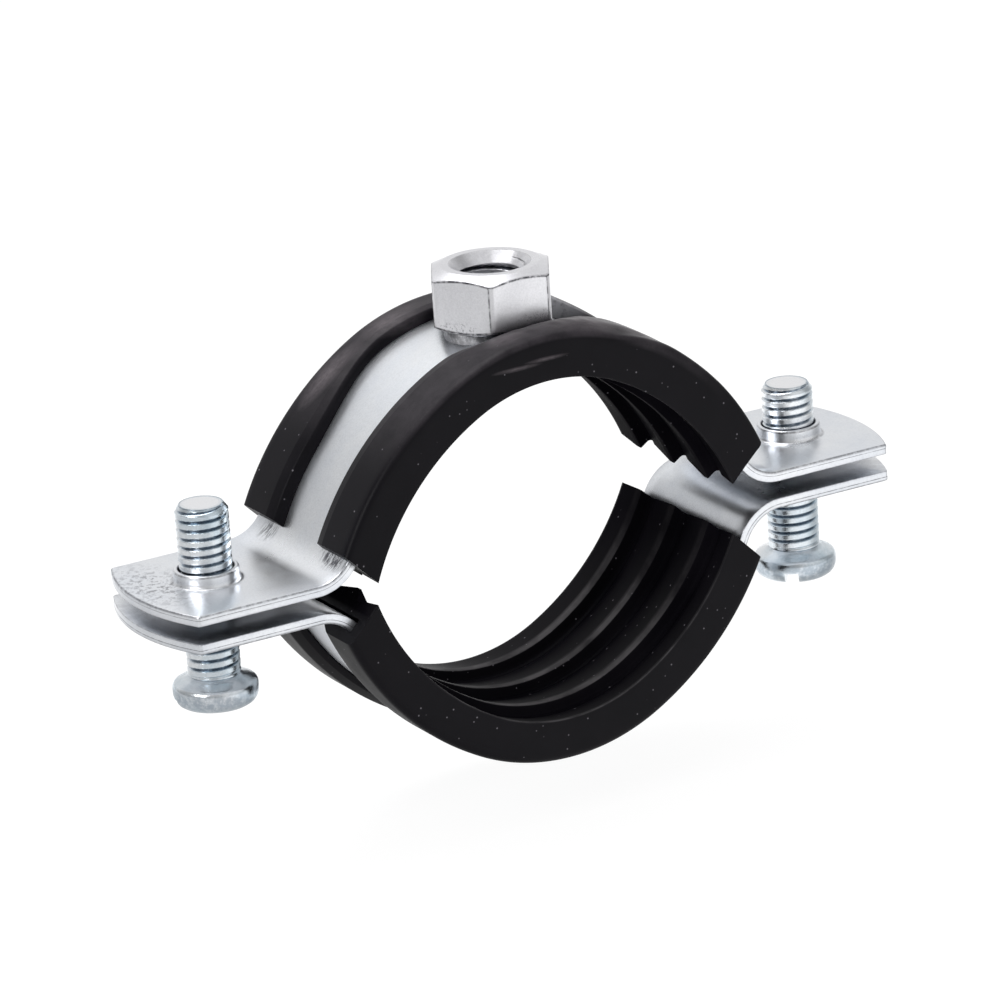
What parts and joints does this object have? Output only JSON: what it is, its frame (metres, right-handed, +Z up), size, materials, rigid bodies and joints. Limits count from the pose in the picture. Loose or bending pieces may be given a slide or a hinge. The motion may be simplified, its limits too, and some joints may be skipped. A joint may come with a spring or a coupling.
{
  "type": "pipe clamp",
  "caption": "Steel pipe clamp in two halves with flat ears, a ribbed rubber liner, a welded hexagon nut on top for a threaded rod, and slotted closing screws through the ears.",
  "frame": {"origin": "middle of the pipe seat, on the pipe's axis, level with the middle of the gap between the ears", "axes": "+X along the ears to the right screw, +Y along the pipe towards the back, +Z up through the connection nut"},
  "size_m": [0.0934, 0.024, 0.0552],
  "materials": {
    "zinc_sheet": "bright zinc plating",
    "zinc_nut": "bright zinc plating, turned and milled",
    "zinc_screw": "bluish zinc plating",
    "liner_rubber": "black, satin, lightly dusty"
  },
  "bodies": {
    "upper_half": {"upper_band": "zinc_sheet", "upper_liner": "liner_rubber", "connection_nut": "zinc_nut"},
    "lower_half": {"lower_band": "zinc_sheet", "lower_liner": "liner_rubber"},
    "left_screw": {"screw_left": "zinc_screw"},
    "right_screw": {"screw_right": "zinc_screw"}
  },
  "joints": [
    {"name": "lower_half_slide", "type": "slide", "parent": "upper_half", "child": "lower_half", "axis": [0, 0, 1], "range_m": [-0.0065, 0.0014]},
    {"name": "left_screw_turn", "type": "hinge", "parent": "upper_half", "child": "left_screw", "pos_m": [-0.0378, 0, 0], "axis": [0, 0, 1], "continuous": true},
    {"name": "right_screw_turn", "type": "hinge", "parent": "upper_half", "child": "right_screw", "pos_m": [0.0378, 0, 0], "axis": [0, 0, 1], "continuous": true}
  ]
}
